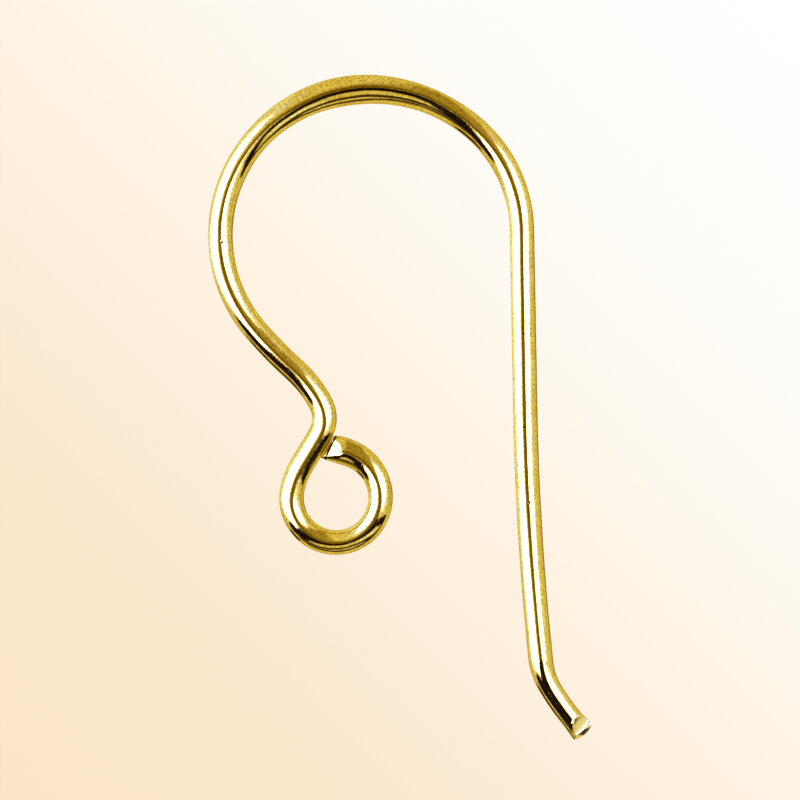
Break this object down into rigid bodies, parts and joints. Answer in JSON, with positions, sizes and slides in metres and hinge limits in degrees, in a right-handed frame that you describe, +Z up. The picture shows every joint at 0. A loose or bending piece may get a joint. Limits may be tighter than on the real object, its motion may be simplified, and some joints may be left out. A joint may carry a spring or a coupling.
{
  "type": "ear wire",
  "caption": "Gold-coloured fish-hook ear wire: one round wire with a lightly pressed crown, a long shank with a short kicked tail, and a small eye closed against the neck.",
  "frame": {"origin": "on the surface that the hook lies on, below the middle of its outline", "axes": "the hook lies flat on its side: +Y from the tail towards the crown, +X from the eye side towards the shank, +Z up out of the hook's plane"},
  "size_m": [0.0112, 0.0194, 0.0007],
  "materials": {
    "gold": "polished yellow gold plate"
  },
  "bodies": {
    "root": {"ear_wire": "gold"}
  },
  "joints": []
}
